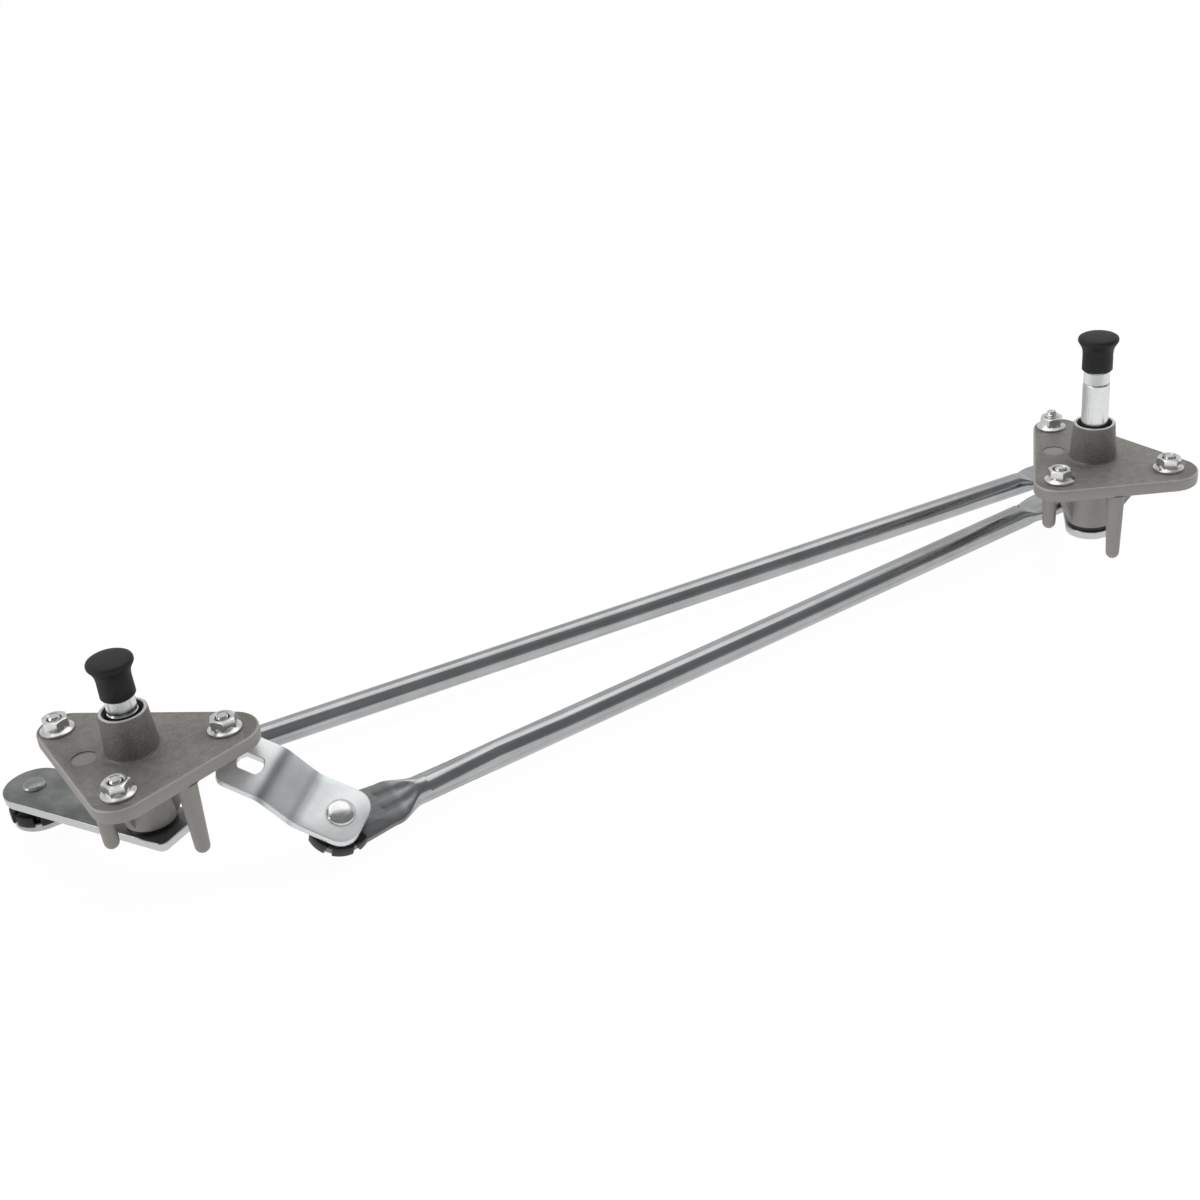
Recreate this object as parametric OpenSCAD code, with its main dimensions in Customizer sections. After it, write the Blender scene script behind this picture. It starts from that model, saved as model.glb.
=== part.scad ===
// Wiper linkage: two pivot housings, two levers, two links and a motor arm.
// Millimetres, +Z up the wiper shafts, origin on the left shaft at the plate top.

/* [Layout] */
// Distance between the two wiper shafts
pivot_span = 474; // [420:1:540]
// Turn of the left housing about its shaft, degrees
left_turn = -11; // [-30:1:10]
// Turn of the right housing about its shaft, degrees
right_turn = -58; // [-70:1:-45]
// Left lever, shaft to ball stud
left_lever_len = 68; // [60:1:76]
// Left lever direction, degrees from +X
left_lever_ang = 127; // [115:1:135]
// Right lever, shaft to outer ball stud
right_lever_len = 98; // [90:1:106]
// Right lever direction, degrees from +X
right_lever_ang = 56; // [52:0.5:62]
// Right lever, shaft to inner ball stud
right_drive_r = 66; // [62:1:68]
// Motor arm ball, distance right of the left shaft
motor_x = 70; // [66:1:84]
// Motor arm ball, distance in front of the left shaft
motor_y = 26; // [20:1:32]
// Clocking of the motor end of the drive link, degrees
drive_roll = 30; // [20:1:32]

/* [Housing] */
// Plate thickness
plate_t = 6; // [5:0.5:7.5]
// Plate corner radius
plate_r = 11.5; // [10:0.5:13]
// Upper boss height above the plate
boss_h = 18.5; // [15:0.5:22]
// Upper boss radius at the plate
boss_r1 = 11.1; // [10.8:0.1:12.5]
// Upper boss radius at the rim
boss_r2 = 9.9; // [9.7:0.1:10.7]
// Lower boss bottom, depth below the plate top
lower_z = 34.5; // [32:0.5:38]
// Lower boss radius
lower_r = 11.4; // [11:0.1:13]
// Depth of the long post below the plate top
post_long = 41; // [38:0.5:44]
// Stud thread diameter
stud_d = 6; // [5:0.5:8]
// Flange diameter of the nuts
flange_d = 14.2; // [13:0.1:16]

/* [Shafts] */
// Wiper shaft diameter
shaft_d = 12.7; // [12:0.1:13.5]
// Left cap top above the plate
left_top = 42.5; // [39:0.5:48]
// Right cap top above the plate
right_top = 63; // [58:0.5:70]
// Cap height
cap_h = 17; // [15:0.5:19]
// Cap disc diameter
cap_d = 19; // [17.5:0.5:22]

/* [Levers and joints] */
// Lever thickness
lever_t = 4; // [3:0.5:5]
// Ball diameter
ball_d = 11; // [10:0.5:12]
// Ball centre below the levers
ball_drop = 10; // [9.5:0.5:12]
// Motor arm thickness
arm_t = 4; // [3:0.5:4.5]
// Motor arm width
arm_w = 26; // [24:1:28]
// Motor arm, ball stud to motor hole
arm_len = 41; // [38:1:44]
// Motor arm direction from the link, degrees
arm_ang = 127; // [118:1:134]
// Step of the motor arm
arm_step = 9; // [7:0.5:10]

/* [Links] */
// Drag link tube diameter
drag_d = 12; // [11:0.5:13]
// Drive link tube diameter
drive_d = 12.7; // [12:0.1:14]
// Tube wall
tube_wall = 1.6; // [1.2:0.1:2]
// Width of the flattened ends
flat_w = 21; // [20:0.5:23]
// Thickness of the flattened ends
flat_t = 4; // [3.5:0.5:5]

/* [Clearances] */
// Radial running clearance of shafts, caps and balls
run_c = 0.05; // [0.02:0.01:0.08]
// Radial gap of pieces pressed together
press_c = 0.02; // [0.01:0.01:0.04]
// Free gap between moving faces
free_c = 0.5; // [0.4:0.1:0.8]

/* [Hidden] */
$fn = 64;
hole_a = [-31, 26];
hole_b = [-5, -31.5];
hole_c = [37, 0];
corner_a = [-28.4, 27.2];
corner_r = [plate_r, plate_r + 0.5, plate_r + 2.2];
post_1 = [-15.5, -15];
post_2 = [19.5, -22.5];
rib_t = 5;
thin_rib_t = 2.6;
ribs = [[0, lower_r + 15.5, lower_z * 0.64, rib_t], [140, lower_r + 13.5, lower_z * 0.58, rib_t],
  [224, lower_r + 12.6, lower_z * 0.94, rib_t], [-62, lower_r + 6.5, lower_z * 0.55, thin_rib_t],
  [-96, lower_r + 6.5, lower_z * 0.55, thin_rib_t]];
washer_t = 1.5;
lever_top = -lower_z - washer_t;
lever_bot = lever_top - lever_t;
ball_z = lever_bot - ball_drop;
post_short = lower_z + 0.7;
bush_r = shaft_d / 2 + 1.25;
bore_r = bush_r + press_c;
seal_r = shaft_d / 2 + 1.9;
seal_h = 3;
seal_z = boss_h - 1 - seal_h;
collar_z = lever_top;
ball_r = ball_d / 2;
neck_r = 3.4;
head_r = 5;
motor_head_r = 6.2;
head_h = 2.2;
arm_drop = 8;
socket_hole = 8.6;
socket_rim = 11.9;
socket_h = 4;
skirt_h = 2.5;
scallop_r = 1.9;
arm_bend = 15.5;
arm_slope = 16;
cap_roof = 3;
grip_r = shaft_d / 2 - 0.25;
seat_r = shaft_d / 2 - 0.6;
grip_h = 6.5;
end_r = shaft_d / 2 - 0.9;
end_h = 4;
taper_h = cap_h - cap_roof + 0.5;
cone_r = end_r + (grip_r - end_r) * (cap_h - cap_roof - end_h) / (taper_h - end_h);
rivet_h = 2;
bush_h = 16;
stud_up = 6.9;
stud_tip = 0.8;
stud_more = 2.2;
lever_end = 13.5;
lever_tail = 13;
lever_half = 9;
lever_corner = 3;
lever_round = lower_r + 0.2;
arm_tip = 11;
arm_back = 10.5;
arm_corner = 8;
arm_hole = 5.5;
arm_flat = 4;
flat_end = 22;
neck_run = 9;
neck_w = 16.5;
drag_start = 42;
motor_start = 38;
right_start = 48;
crimp_c = 0.15;
left_ball = left_lever_len * [cos(left_lever_ang), sin(left_lever_ang)];
right_pivot = [pivot_span, 0];
right_dir = [cos(right_lever_ang), sin(right_lever_ang)];
right_ball = right_pivot + right_lever_len * right_dir;
drive_ball = right_pivot + right_drive_r * right_dir;
motor_ball = [motor_x, -motor_y];
drive_len = norm(motor_ball - drive_ball);
drive_ang = atan2(motor_ball[1] - drive_ball[1], motor_ball[0] - drive_ball[0]);
drag_len = norm(right_ball - left_ball);
drag_ang = atan2(right_ball[1] - left_ball[1], right_ball[0] - left_ball[0]);

// angle of the outward normal on the tangent from circle a to circle b
function nrm(a, b, ra, rb) = atan2(b[1] - a[1], b[0] - a[0]) - acos((ra - rb) / norm(b - a));
function tang(c, r, i, n) = let(j = (i + 1) % n, t = nrm(c[i], c[j], r[i], r[j]))
  [c[i] + r[i] * [cos(t), sin(t)], c[j] + r[j] * [cos(t), sin(t)]];

// outline round a list of circles, counter-clockwise
module loop2d(c, r) {
  n = len(c);
  polygon([for (i = [0 : n - 1]) each tang(c, r, i, n)]);
  for (i = [0 : n - 1]) translate(c[i]) circle(r = r[i]);
}

module at_left() { rotate([0, 0, left_turn]) children(); }
module at_right() { translate([pivot_span, 0, 0]) rotate([0, 0, right_turn]) children(); }

// rib from the lower boss up to the plate
module rib(ang, reach, low, t) {
  rotate([0, 0, ang]) rotate([90, 0, 0]) translate([0, 0, -t / 2])
    linear_extrude(t) polygon([[bush_r + 1.5, -plate_t + 1], [reach, -plate_t + 1], [reach, -plate_t - 0.6],
      [lower_r - 0.6, -low], [bush_r + 1.5, -low]]);
}

module post(p, depth, r1, r2) {
  translate([p[0], p[1], -depth + r2]) {
    cylinder(h = depth - r2 - 1, r1 = r2, r2 = r1);
    sphere(r = r2);
  }
}

module casting() {
  difference() {
    union() {
      translate([0, 0, -plate_t]) linear_extrude(plate_t)
        loop2d([corner_a, hole_b, hole_c], corner_r);
      cylinder(h = boss_h, r1 = boss_r1, r2 = boss_r2);
      cylinder(h = 1.6, r1 = boss_r1 + 1.6, r2 = boss_r1 - 0.1);
      translate([0, 0, -lower_z]) cylinder(h = lower_z - 1, r1 = lower_r - 0.6, r2 = lower_r);
      for (r = ribs) rib(r[0], r[1], r[2], r[3]);
      post(post_1, post_short, 3.9, 3.2);
      post(post_2, post_long, 4.2, 3.2);
    }
    translate([0, 0, -lower_z - 1]) cylinder(h = lower_z + boss_h + 2, r = bore_r);
    translate([0, 0, seal_z]) cylinder(h = boss_h, r = seal_r + press_c);
    for (p = [hole_a, hole_b, hole_c]) translate([p[0], p[1], -plate_t - 1])
      cylinder(h = plate_t + 2, r = stud_d / 2 + press_c);
    translate([-19.5, -0.5, -0.4]) cylinder(h = 1, r = 5.2);
  }
}

module bush(z1, z2) {
  translate([0, 0, z1]) difference() {
    cylinder(h = z2 - z1, r = bush_r);
    translate([0, 0, -1]) cylinder(h = z2 - z1 + 2, r = shaft_d / 2 + run_c);
  }
}

module seal() {
  translate([0, 0, seal_z]) difference() {
    cylinder(h = seal_h, r = seal_r);
    translate([0, 0, -1]) cylinder(h = seal_h + 2, r = shaft_d / 2 + run_c);
  }
}

// more is the extra height of the stud at the first corner
module studs(more) {
  for (p = [[hole_a, more], [hole_b, 0], [hole_c, 0]]) translate([p[0][0], p[0][1], -plate_t]) {
    cylinder(h = plate_t + stud_up + p[1] - stud_tip, r = stud_d / 2);
    translate([0, 0, plate_t + stud_up + p[1] - stud_tip]) cylinder(h = stud_tip, r1 = stud_d / 2, r2 = stud_d / 2 - stud_tip);
  }
}

module nuts() {
  for (p = [hole_a, hole_b, hole_c]) translate([p[0], p[1], 0]) difference() {
    union() {
      cylinder(h = 1.2, r = flange_d / 2);
      translate([0, 0, 1.2]) cylinder(h = 1.5, r1 = flange_d / 2, r2 = stud_d * 0.86);
      intersection() {
        cylinder(h = stud_d * 1.05, r = stud_d * 0.962, $fn = 6);
        cylinder(h = stud_d * 1.05, r1 = stud_d * 1.9, r2 = stud_d * 0.87);
      }
    }
    translate([0, 0, -1]) cylinder(h = stud_d * 2, r = stud_d / 2 + 0.1);
  }
}

// shaft from its riveted end under the lever up into the cap
module shaft(top) {
  tip = top - cap_roof;
  r = shaft_d / 2;
  rotate_extrude() polygon([[0, lever_bot - rivet_h], [seat_r - 0.8, lever_bot - rivet_h], [seat_r, lever_bot - 0.02],
    [seat_r, lever_top + 0.02], [r, lever_top + 0.02], [r, tip - taper_h - grip_h], [grip_r, tip - taper_h - grip_h],
    [grip_r, tip - taper_h], [end_r, tip - end_h], [end_r, tip - 1], [end_r - 1, tip], [0, tip]]);
}

module washer() {
  translate([0, 0, lever_top + 0.02]) difference() {
    cylinder(h = washer_t - 0.04, r = lower_r - 0.9);
    translate([0, 0, -1]) cylinder(h = washer_t + 2, r = shaft_d / 2 + press_c);
  }
}

module square_tail(length) {
  loop2d([[length, 0], [-lever_tail, lever_half], [-lever_tail, -lever_half]], [lever_end, lever_corner, lever_corner]);
}

module round_tail(length) { loop2d([[length, 0], [0, 0]], [lever_round, lever_round]); }

// the lever's outline is its child
module lever(studs_at) {
  translate([0, 0, lever_bot]) difference() {
    linear_extrude(lever_t) children();
    translate([0, 0, -1]) cylinder(h = lever_t + 2, r = seat_r + press_c);
    for (x = studs_at) translate([x, 0, -1]) cylinder(h = lever_t + 2, r = neck_r + press_c);
  }
}

// ball stud: z 0 is the underside of the lever, drop is the ball depth, hr the head radius
module ball_stud(drop, t, hr) {
  translate([0, 0, -drop]) sphere(r = ball_r);
  translate([0, 0, -drop]) cylinder(h = drop + t + 1, r = neck_r);
  translate([0, 0, -2]) cylinder(h = 1.98, r = neck_r + 1.6);
  translate([0, 0, t + 0.02]) rotate_extrude()
    polygon(concat([[0, 0], [hr, 0]], [for (a = [10 : 10 : 90]) [hr * cos(a), head_h * sin(a)]]));
}

// ball socket: origin at the ball centre, collar reaches up to within free_c of the lever
module socket(drop) {
  top = drop - free_c;
  low = flat_t / 2 + 0.02;
  difference() {
    union() {
      translate([0, 0, -ball_r - 1.6]) cylinder(h = ball_r + 1.6 - low, r = socket_hole + 1.2);
      translate([0, 0, -low - skirt_h]) cylinder(h = skirt_h, r = socket_rim - 0.3);
      translate([0, 0, -flat_t]) cylinder(h = 2 * flat_t, r = socket_hole - 3 * press_c);
      translate([0, 0, low]) cylinder(h = socket_h, r = socket_rim);
      translate([0, 0, low + socket_h]) cylinder(h = top - low - socket_h, r1 = socket_rim - 1.3, r2 = socket_hole - 1);
    }
    sphere(r = ball_r + run_c);
    cylinder(h = drop, r = neck_r + 1);
    translate([0, 0, drop - 2.6 - free_c]) cylinder(h = drop, r = neck_r + 2.2);
    for (a = [18 : 36 : 342]) rotate([0, 0, a]) translate([socket_rim + scallop_r * 0.4, 0, low - 1])
      cylinder(h = socket_h + 2, r = scallop_r);
    for (a = [0 : 90 : 270]) rotate([0, 0, a]) translate([socket_hole + 1.6, 0, -ball_r - 3])
      cylinder(h = ball_r + 3 - low - skirt_h, r = 1.5);
  }
}

// flat bar section, centred on the tube axis
module bar(x, w, t, h) { translate([x, -w / 2, -t / 2]) cube([h, w, t]); }

// round tube end squeezed to a flat, running along +X from the ball
module link_end(d, roll, start) {
  thin = flat_t + 2 * crimp_c;
  neck_t = flat_t + 1;
  rotate([roll, 0, 0]) difference() {
    union() {
      translate([0, 0, -flat_t / 2]) linear_extrude(flat_t)
        loop2d([[0, 0], [flat_end, 2.4 - flat_w / 2], [flat_end, flat_w / 2 - 2.4]], [socket_rim - 0.7, 2, 2]);
      hull() {
        bar(flat_end - 1, flat_w, thin, 2.5);
        bar(start - neck_run, neck_w, neck_t, 0.6);
      }
      hull() {
        bar(start - neck_run + 0.2, neck_w - 4 * crimp_c, neck_t + 2 * crimp_c, 0.2);
        translate([start, 0, 0]) rotate([0, 90, 0]) cylinder(h = 0.6, d = d - 2 * crimp_c, $fn = 48);
      }
    }
    translate([0, 0, -flat_t]) cylinder(h = 2 * flat_t, r = socket_hole);
  }
}

// ends is a list of two: roll and start of the round tube, counted from each ball
module link_tube(length, d, ends) {
  a = ends[0];
  b = ends[1];
  run = length - a[1] - b[1];
  link_end(d, a[0], a[1]);
  translate([length, 0, 0]) rotate([0, 0, 180]) link_end(d, b[0], b[1]);
  translate([a[1], 0, 0]) rotate([0, 90, 0]) difference() {
    cylinder(h = run, d = d);
    translate([0, 0, 1.5]) cylinder(h = run - 3, d = d - 2 * tube_wall);
  }
}

module cap(top) {
  r = shaft_d / 2 + 0.85;
  tip = top - cap_roof;
  f = cap_d / 2;
  rotate_extrude() polygon([[0, tip + 0.3], [end_r - 0.9, tip + 0.3], [end_r + 2 * run_c, tip - 0.7], [end_r + 2 * run_c, tip - end_h],
    [cone_r + 2 * run_c, top - cap_h], [r - 0.3, top - cap_h],
    [r, top - cap_h + 0.6], [r - 0.15, top - cap_h * 0.55], [r + 0.1, top - cap_h * 0.42], [r + 0.9, top - cap_h * 0.28],
    [f - 0.6, top - cap_h * 0.19], [f, top - cap_h * 0.14], [f, top - cap_h * 0.09], [f - 0.9, top - 0.5],
    [f * 0.6, top - 0.1], [0, top]]);
}

// frames of the moving pieces
module at_drag() { translate([left_ball[0], left_ball[1], ball_z]) rotate([0, 0, drag_ang]) children(); }
module at_drive() { translate([motor_ball[0], motor_ball[1], ball_z]) rotate([0, 0, drive_ang + 180]) children(); }
module at_motor() { at_drive() rotate([drive_roll, 0, 0]) children(); }

module left_housing() { color("gray") at_left() casting(); }
module left_upper_bush() { color("peru") at_left() bush(-plate_t, seal_z); }
module left_lower_bush() { color("peru") at_left() bush(-lower_z, -lower_z + bush_h); }
module left_shaft_seal() { color("black") at_left() seal(); }
module left_studs() { color("silver") at_left() studs(0); }
module left_flange_nuts() { color("silver") at_left() nuts(); }
module left_shaft() { color("lightgray") shaft(left_top); }
module left_thrust_washer() { color("dimgray") washer(); }
module left_lever() { color("silver") rotate([0, 0, left_lever_ang]) lever([left_lever_len]) square_tail(left_lever_len); }
module left_cap() { color("black") cap(left_top); }
module left_drag_stud() {
  color("silver") translate([left_ball[0], left_ball[1], lever_bot]) ball_stud(ball_drop, lever_t, head_r);
}
module right_housing() { color("gray") at_right() casting(); }
module right_upper_bush() { color("peru") at_right() bush(-plate_t, seal_z); }
module right_lower_bush() { color("peru") at_right() bush(-lower_z, -lower_z + bush_h); }
module right_shaft_seal() { color("black") at_right() seal(); }
module right_studs() { color("silver") at_right() studs(stud_more); }
module right_flange_nuts() { color("silver") at_right() nuts(); }
module right_shaft() { color("lightgray") translate([pivot_span, 0, 0]) shaft(right_top); }
module right_thrust_washer() { color("dimgray") translate([pivot_span, 0, 0]) washer(); }
module right_lever() {
  color("silver") translate([pivot_span, 0, 0]) rotate([0, 0, right_lever_ang])
    lever([right_drive_r, right_lever_len]) round_tail(right_lever_len);
}
module right_cap() { color("black") translate([pivot_span, 0, 0]) cap(right_top); }
module right_drag_stud() {
  color("silver") translate([right_ball[0], right_ball[1], lever_bot]) ball_stud(ball_drop, lever_t, head_r);
}
module right_drive_stud() {
  color("silver") translate([drive_ball[0], drive_ball[1], lever_bot]) ball_stud(ball_drop, lever_t, head_r);
}
module drag_tube() { color("slategray") at_drag() link_tube(drag_len, drag_d, [[0, drag_start], [0, drag_start]]); }
module drag_left_socket() { color("black") at_drag() socket(ball_drop); }
module drag_right_socket() { color("black") at_drag() translate([drag_len, 0, 0]) socket(ball_drop); }
module drive_tube() { color("slategray") at_drive() link_tube(drive_len, drive_d, [[drive_roll, motor_start], [0, right_start]]); }
module drive_motor_socket() { color("black") at_motor() socket(arm_drop); }
module drive_right_socket() { color("black") at_drive() translate([drive_len, 0, 0]) socket(ball_drop); }
module motor_stud() { color("silver") at_motor() translate([0, 0, arm_drop]) ball_stud(arm_drop, arm_t, motor_head_r); }

// Z-bent arm: bent strip cut to its outline, with a double-D hole for the motor shaft
module motor_arm() {
  b1 = arm_bend;
  b2 = b1 + arm_slope;
  k = arm_step / arm_slope;
  e = arm_t / 2 * tan(atan(k) / 2);
  tip = arm_len + arm_tip;
  color("silver") at_motor() rotate([0, 0, arm_ang]) translate([0, 0, arm_drop]) difference() {
    intersection() {
      translate([0, arm_w, 0]) rotate([90, 0, 0]) linear_extrude(2 * arm_w)
        polygon([[-20, 0], [b1 + e - 1, 0], [b1 + e + 1, k], [b2 + e - 1, arm_step - k], [b2 + e + 1, arm_step],
          [tip + 5, arm_step], [tip + 5, arm_step + arm_t], [b2 - e + 1, arm_step + arm_t],
          [b2 - e - 1, arm_step + arm_t - k], [b1 - e + 1, arm_t + k], [b1 - e - 1, arm_t], [-20, arm_t]]);
      translate([0, 0, -arm_t]) linear_extrude(3 * arm_t + arm_step)
        loop2d([[arm_corner - arm_back, arm_w / 2 - arm_corner], [arm_corner - arm_back, arm_corner - arm_w / 2],
          [tip - 5, 5 - arm_w / 2], [tip - 5, arm_w / 2 - 5]], [arm_corner, arm_corner, 5, 5]);
    }
    translate([0, 0, -1]) cylinder(h = arm_t + 2, r = neck_r + press_c);
    translate([arm_len, 0, arm_step - 1]) intersection() {
      cylinder(h = arm_t + 2, r = arm_hole);
      translate([-2 * arm_hole, -arm_flat, 0]) cube([4 * arm_hole, 2 * arm_flat, arm_t + 2]);
    }
  }
}

left_housing();
left_upper_bush();
left_lower_bush();
left_shaft_seal();
left_studs();
left_flange_nuts();
left_shaft();
left_thrust_washer();
left_lever();
left_cap();
left_drag_stud();
right_housing();
right_upper_bush();
right_lower_bush();
right_shaft_seal();
right_studs();
right_flange_nuts();
right_shaft();
right_thrust_washer();
right_lever();
right_cap();
right_drag_stud();
right_drive_stud();
drag_tube();
drag_left_socket();
drag_right_socket();
drive_tube();
drive_motor_socket();
drive_right_socket();
motor_arm();
motor_stud();
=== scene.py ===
import bpy
import bmesh
import math
from mathutils import Matrix, Vector


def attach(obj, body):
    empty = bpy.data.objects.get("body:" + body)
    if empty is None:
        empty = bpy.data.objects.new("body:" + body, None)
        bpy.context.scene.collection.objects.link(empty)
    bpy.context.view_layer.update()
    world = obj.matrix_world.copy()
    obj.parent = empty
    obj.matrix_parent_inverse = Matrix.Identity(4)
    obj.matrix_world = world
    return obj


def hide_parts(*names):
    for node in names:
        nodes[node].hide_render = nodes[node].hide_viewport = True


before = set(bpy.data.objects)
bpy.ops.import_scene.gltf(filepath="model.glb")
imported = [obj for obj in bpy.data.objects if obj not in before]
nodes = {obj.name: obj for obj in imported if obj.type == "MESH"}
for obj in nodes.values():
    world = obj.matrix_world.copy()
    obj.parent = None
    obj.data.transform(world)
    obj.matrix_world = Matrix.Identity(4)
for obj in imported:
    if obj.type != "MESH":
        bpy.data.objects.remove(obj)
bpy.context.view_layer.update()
mm = 0.001
sides = ("left", "right")

# where each group sits: millimetres and degrees, the same values as the solids
layout = {
    "span": 474.0, "leftTurn": -11.0, "rightTurn": -58.0,
    "leftLever": 68.0, "leftLeverTurn": 127.0,
    "rightLever": 98.0, "rightLeverTurn": 56.0, "rightDrive": 66.0,
    "motorX": 70.0, "motorY": -26.0, "driveRoll": 30.0,
    "ballHeight": -50.0, "leverTop": -36.0, "leverBottom": -40.0,
    "armDrop": 8.0, "armThick": 4.0,
}


def turnZ(degrees):
    return Matrix.Rotation(math.radians(degrees), 4, "Z")


def rollX(degrees):
    return Matrix.Rotation(math.radians(degrees), 4, "X")


def shift(x, y, z):
    return Matrix.Translation((x, y, z))


def farEnd(length):
    # the other end of a link, looking back along it
    return shift(length, 0, 0) @ turnZ(180)


def polar(length, degrees):
    a = math.radians(degrees)
    return Vector((length * math.cos(a), length * math.sin(a), 0.0))


def angles(start, stop, step):
    return [math.radians(d) for d in range(start, stop, step)]


rightAxis = Vector((layout["span"], 0.0, 0.0))
leftBall = polar(layout["leftLever"], layout["leftLeverTurn"])
rightBall = rightAxis + polar(layout["rightLever"], layout["rightLeverTurn"])
driveBall = rightAxis + polar(layout["rightDrive"], layout["rightLeverTurn"])
motorBall = Vector((layout["motorX"], layout["motorY"], 0.0))
driveSpan = driveBall - motorBall
driveTurn = math.degrees(math.atan2(driveSpan.y, driveSpan.x))
dragSpan = rightBall - leftBall
dragTurn = math.degrees(math.atan2(dragSpan.y, dragSpan.x))
ballZ = layout["ballHeight"]
leverDrop = layout["leverBottom"] - ballZ
leverThick = layout["leverTop"] - layout["leverBottom"]
place = {
    "leftMount": turnZ(layout["leftTurn"]),
    "rightMount": shift(*rightAxis) @ turnZ(layout["rightTurn"]),
    "leftShaft": Matrix.Identity(4),
    "rightShaft": shift(*rightAxis),
    "leftLever": turnZ(layout["leftLeverTurn"]),
    "rightLever": shift(*rightAxis) @ turnZ(layout["rightLeverTurn"]),
    "drag": shift(leftBall.x, leftBall.y, ballZ) @ turnZ(dragTurn),
    "drive": shift(motorBall.x, motorBall.y, ballZ) @ turnZ(driveTurn),
}
place["motor"] = place["drive"] @ rollX(layout["driveRoll"])
place["dragFar"] = place["drag"] @ farEnd(dragSpan.length)
place["driveFar"] = place["drive"] @ farEnd(driveSpan.length)
print("frame loaded,", len(nodes), "nodes")


# shader groups shared by the finishes

def feedNode(tree, node, values):
    # another node's output is linked, anything else is set as a constant
    for key, value in values.items():
        if isinstance(value, bpy.types.NodeSocket):
            tree.links.new(value, node.inputs[key])
        else:
            node.inputs[key].default_value = value
    return node


def addNode(tree, kind, values=None, **settings):
    node = tree.nodes.new(kind)
    for key, value in settings.items():
        setattr(node, key, value)
    return feedNode(tree, node, values or {})


def newGroup(name, inputs, outputs, kind="NodeSocketFloat"):
    group = bpy.data.node_groups.new(name, "ShaderNodeTree")
    for label in inputs:
        group.interface.new_socket(name=label, in_out="INPUT", socket_type=kind)
    for label in outputs:
        group.interface.new_socket(name=label, in_out="OUTPUT", socket_type="NodeSocketFloat")
    return group, group.nodes.new("NodeGroupInput").outputs, group.nodes.new("NodeGroupOutput")


def objectCoords(tree):
    return addNode(tree, "ShaderNodeTexCoord").outputs["Object"]


def splitAxes(tree, source):
    return addNode(tree, "ShaderNodeSeparateXYZ", {"Vector": source}).outputs


def mathNode(tree, operation, a, b, clamp=False):
    return addNode(tree, "ShaderNodeMath", {0: a, 1: b}, operation=operation, use_clamp=clamp).outputs[0]


def times(tree, a, b, clamp=False):
    return mathNode(tree, "MULTIPLY", a, b, clamp)


def weighNodes(tree, a, b, share):
    return mathNode(tree, "ADD", times(tree, a, 1.0 - share), times(tree, b, share))


def noiseNode(tree, vector, scale, detail, rough):
    values = {"Vector": vector, "Scale": scale, "Detail": detail, "Roughness": rough}
    return addNode(tree, "ShaderNodeTexNoise", values).outputs["Fac"]


def rampNode(tree, source, stops):
    node = addNode(tree, "ShaderNodeValToRGB", {"Fac": source})
    ramp = node.color_ramp
    while len(ramp.elements) < len(stops):
        ramp.elements.new(0.5)
    for element, (spot, tone) in zip(ramp.elements, stops):
        element.position = spot
        element.color = (*tone, 1.0)
    return node.outputs["Color"]


def mixColour(tree, factor, a, b, blend="MIX"):
    a, b = ((*tone, 1.0) if isinstance(tone, tuple) else tone for tone in (a, b))
    values = {0: factor, 6: a, 7: b}
    return addNode(tree, "ShaderNodeMix", values, data_type="RGBA", blend_type=blend).outputs[2]


grainLook = {"pitScale": 0.8, "fineHeight": 0.7, "pitHeight": 0.5}


def makeGrainGroup():
    # sand-cast or tumbled skin: fine tone, broad tone and a height
    g = grainLook
    group, given, end = newGroup("castGrain", ("Scale", "Patch"), ("Tone", "Patches", "Height"))
    coords = objectCoords(group)
    fine = noiseNode(group, coords, given["Scale"], 3.0, 0.65)
    broad = noiseNode(group, coords, given["Patch"], 4.0, 0.55)
    pitScale = times(group, given["Scale"], g["pitScale"])
    pits = addNode(group, "ShaderNodeTexVoronoi", {"Vector": coords, "Scale": pitScale, "Randomness": 1.0},
                   feature="F1").outputs["Distance"]
    height = mathNode(group, "ADD", times(group, fine, g["fineHeight"]), times(group, pits, g["pitHeight"]))
    feedNode(group, end, {"Tone": fine, "Patches": broad, "Height": height})
    return group


streakLook = {"stretch": (6.0, 900.0, 900.0), "cloudScale": 45.0}


def makeStreakGroup():
    # lines drawn along one direction of a piece, such as die marks on a tube
    s = streakLook
    outputs = ("Streaks", "Patches", "Height")
    group, given, end = newGroup("drawnStreaks", ("Turn",), outputs, kind="NodeSocketVector")
    coords = objectCoords(group)
    turned = addNode(group, "ShaderNodeMapping", {"Vector": coords, "Rotation": given["Turn"]},
                     vector_type="POINT").outputs["Vector"]
    scaled = addNode(group, "ShaderNodeVectorMath", {0: turned, 1: s["stretch"]}, operation="MULTIPLY")
    lines = noiseNode(group, scaled.outputs["Vector"], 1.0, 4.0, 0.6)
    cloud = noiseNode(group, coords, s["cloudScale"], 3.0, 0.6)
    feedNode(group, end, {"Streaks": lines, "Patches": cloud, "Height": lines})
    return group


edgeLook = {"break": 260.0, "gapBelow": 0.22, "gapGain": 2.2}


def makeEdgeGroup():
    # rubbed or rolled edges, on the lever also a painted reflection, broken up so that the line isn't even
    e = edgeLook
    group, given, end = newGroup("edgeRubAndSheen", ("Low", "High"), ("Mask",))
    shape = addNode(group, "ShaderNodeNewGeometry").outputs["Pointiness"]
    values = {"Value": shape, "From Min": given["Low"], "From Max": given["High"]}
    spread = addNode(group, "ShaderNodeMapRange", values, clamp=True).outputs["Result"]
    breaks = noiseNode(group, objectCoords(group), e["break"], 3.0, 0.6)
    raised = mathNode(group, "SUBTRACT", breaks, e["gapBelow"])
    uneven = times(group, raised, e["gapGain"], clamp=True)
    feedNode(group, end, {"Mask": times(group, spread, uneven, clamp=True)})
    return group


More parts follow.
